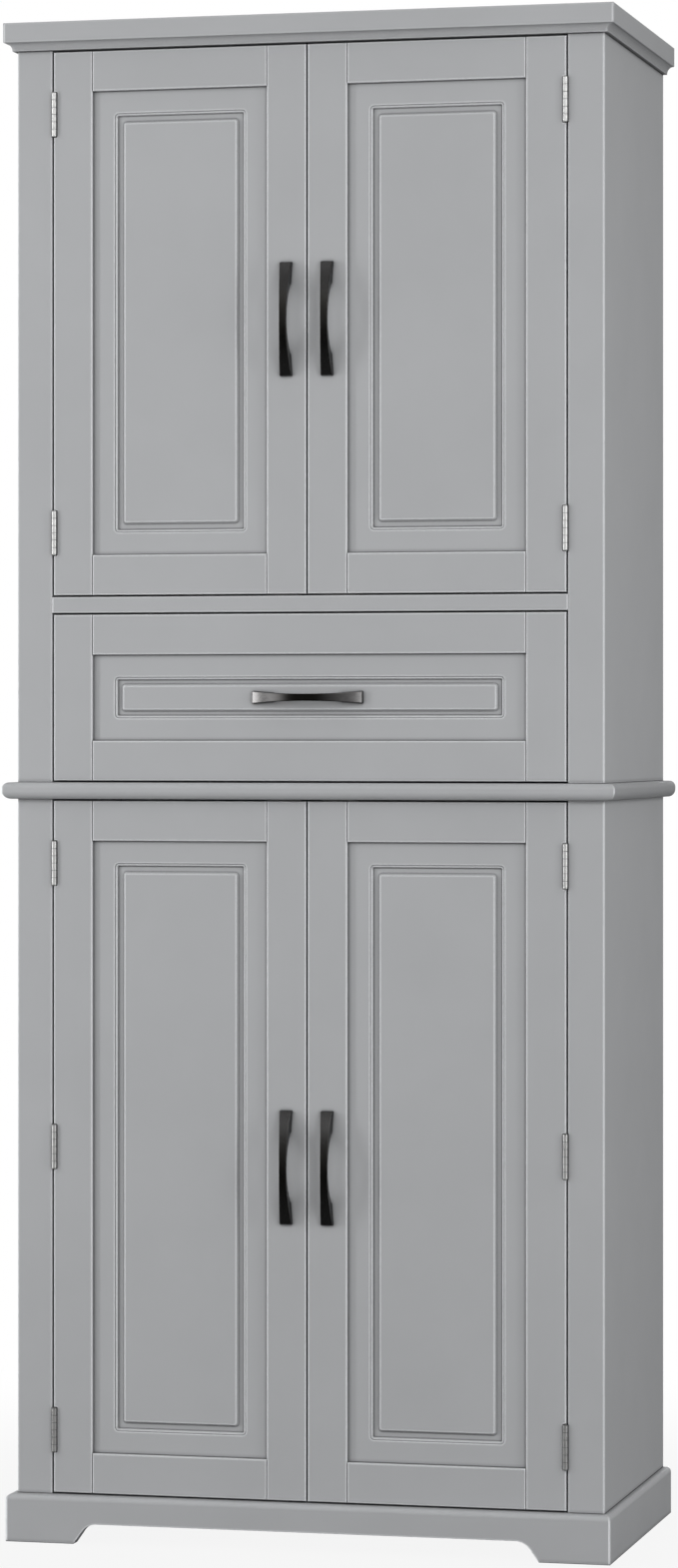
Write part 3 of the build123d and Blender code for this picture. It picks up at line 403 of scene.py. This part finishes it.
ALONG_X, ALONG_Y, ALONG_Z = range(3)
PAINT, PAINT_ROUGHNESS, INSIDE_ROUGHNESS = (0.385, 0.391, 0.401), 0.6, 0.62
NICKEL, ZINC, PLASTIC = (0.35, 0.35, 0.347), (0.62, 0.63, 0.65), (0.7, 0.7, 0.69)
BEECH, BEECH_BAND = (0.62, 0.43, 0.27), (0.50, 0.32, 0.18)
PINE, PINE_BAND = (0.66, 0.50, 0.30), (0.56, 0.37, 0.19)
FIBRE, FLECK = (0.40, 0.285, 0.18), (0.29, 0.195, 0.115)
# near black at a handle's waist; its ends paler by a painted reflection
HANDLE_WAIST, HANDLE_ENDS = (0.0125, 0.012, 0.011), (0.036, 0.0355, 0.0355)
DRAWER_WAIST, DRAWER_ENDS = (0.0075, 0.007, 0.0062), (0.1, 0.098, 0.098)  # its handle, whose ends carry the brightest painted reflection

cabinet_paint = painted("cabinet_paint", PAINT, PAINT_ROUGHNESS)
# the same paint with a stronger painted highlight on the arrises of the doors and drawer front
front_paint = painted("front_paint", PAINT, PAINT_ROUGHNESS, glint=1.7)
# the same paint with a weaker painted highlight and deeper, wider painted shade in the crown's cove
crown_paint = painted("crown_paint", PAINT, PAINT_ROUGHNESS, glint=0.5, reach=0.014, shade=0.9)
# painted shade on the left and right ends of the crown and of the waist board
paint_shade_on_ends(crown_paint, 0.94)
waist_paint = painted("waist_paint", PAINT, PAINT_ROUGHNESS)
paint_shade_on_ends(waist_paint, 0.76)
inside_paint = painted("inside_paint", PAINT, INSIDE_ROUGHNESS)
back_board = painted("back_board", PAINT, INSIDE_ROUGHNESS)
leave_rear_raw(back_board, FIBRE, FLECK)
# its rim puts painted shade at the edges of the hinge knuckles and of the nails
nickel = brushed("nickel", NICKEL, roughness=0.30, along=ALONG_Z, rim=0.0005)
zinc = brushed("zinc", ZINC, roughness=0.35, along=ALONG_Y)
catch_plastic = painted("catch_plastic", PLASTIC, roughness=0.45, glint=0.1)
beech_across = timber("beech_across", BEECH, BEECH_BAND, roughness=0.45, along=ALONG_X)
beech_back = timber("beech_back", BEECH, BEECH_BAND, roughness=0.45, along=ALONG_Y)
pine = timber("pine", PINE, PINE_BAND, roughness=0.6, along=ALONG_X)


def dress(node, material):
    """Give a node of the frame its material."""
    slots = nodes[node].data.materials
    slots.clear()
    slots.append(material)


SLOT_FINISH = {
    "painted_board": cabinet_paint,
    "inside_board": inside_paint,
    "back_board": back_board,
    "drawer_board": beech_back,
    "raw_pine": pine,
    "hinge_metal": nickel,
    "zinc_fittings": zinc,
    "runner_steel": zinc,
    "catch_plastic": catch_plastic,
}
OWN_FINISH = {
    "drawer_box_ends": beech_across,
    "crown_front": crown_paint,
    "crown_sides": crown_paint,
    "waist_board": waist_paint,
    "drawer_handle": handle_metal_with_painted_reflection("drawer_handle", ALONG_X, DRAWER_WAIST, DRAWER_ENDS, roughness=0.22),
}
DOORS = ("upper_left_door", "upper_right_door", "lower_left_door", "lower_right_door")
for door in DOORS:
    handle = door + "_handle"
    OWN_FINISH[handle] = handle_metal_with_painted_reflection(handle, ALONG_Z, HANDLE_WAIST, HANDLE_ENDS, roughness=0.24)
for front in (*DOORS, "drawer_front"):
    for piece in ("_stiles", "_rails", "_panel"):
        OWN_FINISH[front + piece] = front_paint
for part in frame["record"]["subparts"]:
    dress(part["node"], OWN_FINISH.get(part["node"]) or SLOT_FINISH[part["material_slot"]])

# ---------------------------------------------------------------- nails in the back

NAIL_RADIUS, NAIL_RISE = 0.0028, 0.0009
NAIL_SECTION = ((0, -0.3), (1, -0.3), (0.96, 0.35), (0.72, 0.75), (0.36, 1), (0, 1.07))  # shares of these
NAIL_SIDES = 14
NAIL_EDGE = 0.0045  # from the sides of the back
NAIL_STEP = 0.15  # about how far apart the nails are
WAIST_GAP = 0.02  # from the waist board to the nearest nails
RANK = Vector((1.0, 0.3717, 0.1931))  # a direction along which no two corners of a nail lie level


def evenly(low, high, step):
    """Levels from low to high, as near to a step apart as goes."""
    count = max(1, round((high - low) / step))
    return [low + (high - low) * index / count for index in range(count + 1)]


def nail_spots():
    """Where the nails are, across and up: along both sides, and along the boards between them."""
    low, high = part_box("back_panels")
    waist_under, waist_top = (corner[2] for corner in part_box("waist_board"))
    bottom, divider, top = (sum(corner[2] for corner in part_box(board)) / 2
                            for board in ("bottom_board", "divider_board", "top_board"))
    left, right = low[0] + NAIL_EDGE, high[0] - NAIL_EDGE
    levels = (evenly(bottom, waist_under - WAIST_GAP, NAIL_STEP)
              + evenly(waist_top + WAIST_GAP, top, NAIL_STEP))
    return ([(x, z) for x in (left, right) for z in levels]
            + [(x, z) for z in (bottom, divider, top) for x in evenly(left, right, NAIL_STEP)[1:-1]])


def settle(shape):
    """Put a shape's corners and faces in one order, since a spin leaves them in a new one each run."""
    shape.verts.sort(key=lambda vert: vert.co.dot(RANK))
    shape.faces.sort(key=lambda face: face.calc_center_median().dot(RANK))


def make_back_nails():
    """Round-headed nails that hold the two back panels to the sides and to the boards between them."""
    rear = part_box("back_panels")[1][1]
    spots = nail_spots()
    shape = bmesh.new()
    profile = [shape.verts.new((NAIL_RADIUS * across, rear + NAIL_RISE * rise, 0))
               for across, rise in NAIL_SECTION]
    outline = [shape.edges.new(ends) for ends in zip(profile, profile[1:])]
    bmesh.ops.spin(shape, geom=profile + outline, cent=(0, 0, 0), axis=(0, 1, 0),
                   dvec=(0, 0, 0), angle=math.tau, steps=NAIL_SIDES, use_merge=True)
    bmesh.ops.remove_doubles(shape, verts=shape.verts, dist=1e-6)
    bmesh.ops.recalc_face_normals(shape, faces=shape.faces)
    settle(shape)
    first = shape.verts[:]
    nail = first + shape.edges[:] + shape.faces[:]
    for x, z in spots[1:]:
        copy = bmesh.ops.duplicate(shape, geom=nail)["geom"]
        verts = [piece for piece in copy if isinstance(piece, bmesh.types.BMVert)]
        bmesh.ops.translate(shape, verts=verts, vec=(x, 0, z))
    bmesh.ops.translate(shape, verts=first, vec=(spots[0][0], 0, spots[0][1]))
    mesh = bpy.data.meshes.new("back_nails")
    shape.to_mesh(mesh)
    shape.free()
    mesh.materials.append(nickel)
    nails = bpy.data.objects.new("back_nails", mesh)
    scene.collection.objects.link(nails)
    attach(nails, "case")


make_back_nails()

# ---------------------------------------------------------------- studio

AIM = (0.0, -0.19, 0.92)
# name, place, size across and up, power in watts
SOFTBOXES = [
    ("left_strip", (-2.1, -1.2, 1.1), (0.34, 2.4), 25.9),
    ("right_strip", (2.2, -1.0, 1.1), (0.34, 2.4), 15.7),
    ("left_front", (-2.8, -3.4, 1.5), (1.2, 2.2), 29.2),
    ("right_front", (3.2, -3.6, 1.5), (1.2, 2.2), 46.7),
    ("front_high", (0.3, -4.5, 3.2), (2.5, 1.5), 46.7),
    ("overhead", (0.0, -1.2, 3.6), (2.0, 1.5), 4.8),
    ("top", (0.0, 0.8, 4.2), (0.6, 1.0), 30.0),
    ("back", (0.0, 4.5, 1.6), (0.6, 2.4), 125.0),
]
UNMIRRORED = "back"  # this one would glint in the cabinet's sides
AMBIENT = 0.31  # the room's light on matt surfaces
BACKDROP = 1.0  # the white that the camera, gloss and clear pieces see
FLOOR_HALF = 25.0
FLOOR_GREY = 0.2  # what the floor gives back to the cabinet
SHADOW_START, SHADOW_REACH = 0.4, 1.6  # metres from the middle between which the floor's shadow fades
SHADOW_LIFT = 0.9  # share of plain white at the middle


def hang_softbox(name, place, size, power):
    data = bpy.data.lights.new(name, "AREA")
    data.shape = "RECTANGLE"
    data.size, data.size_y = size
    data.energy = power
    light = bpy.data.objects.new(name, data)
    light.location = place
    light.rotation_euler = (Vector(AIM) - Vector(place)).to_track_quat("-Z", "Y").to_euler()
    light.visible_camera = False
    light.visible_glossy = name != UNMIRRORED
    scene.collection.objects.link(light)


def make_world():
    """White for the camera and for reflections, and a dimmer even light on everything matt."""
    world = bpy.data.worlds.new("studio")
    scene.world = world
    world.use_nodes = True
    tree = world.node_tree
    background = tree.nodes["Background"]
    background.inputs["Color"].default_value = (1, 1, 1, 1)
    rays = add_node(tree, "ShaderNodeLightPath").outputs
    gloss = maths(tree, "MAXIMUM", rays["Is Glossy Ray"], rays["Is Transmission Ray"])
    white = maths(tree, "MAXIMUM", gloss, rays["Is Camera Ray"])
    feed(tree, background.inputs["Strength"], mapped(tree, white, WHOLE, (AMBIENT, BACKDROP)))


def make_floor():
    """A pale floor: white to the camera, with the cabinet's shadow fading out around it."""
    shape = bmesh.new()
    bmesh.ops.create_grid(shape, x_segments=1, y_segments=1, size=FLOOR_HALF)
    mesh = bpy.data.meshes.new("floor")
    shape.to_mesh(mesh)
    shape.free()
    floor = bpy.data.objects.new("floor", mesh)
    scene.collection.objects.link(floor)
    material, tree, matt = new_material("studio_floor", (FLOOR_GREY,) * 3, roughness=0.9)
    glow = add_node(tree, "ShaderNodeEmission", inputs={"Strength": 1.0})
    away = add_node(tree, "ShaderNodeVectorMath", operation="LENGTH")
    feed(tree, away.inputs[0], object_place(tree))
    fade = mapped(tree, away.outputs["Value"], (SHADOW_START, SHADOW_REACH), (SHADOW_LIFT, 1.0),
                  interpolation_type="SMOOTHSTEP")
    seen = add_node(tree, "ShaderNodeLightPath").outputs["Is Camera Ray"]
    mix = add_node(tree, "ShaderNodeMixShader")
    for socket, value in zip(mix.inputs, (maths(tree, "MULTIPLY", fade, seen), matt.outputs["BSDF"],
                                          glow.outputs["Emission"])):
        feed(tree, socket, value)
    feed(tree, tree.nodes["Material Output"].inputs["Surface"], mix.outputs["Shader"])
    mesh.materials.append(material)


for softbox in SOFTBOXES:
    hang_softbox(*softbox)
make_world()
make_floor()

scene.view_settings.view_transform = "Standard"
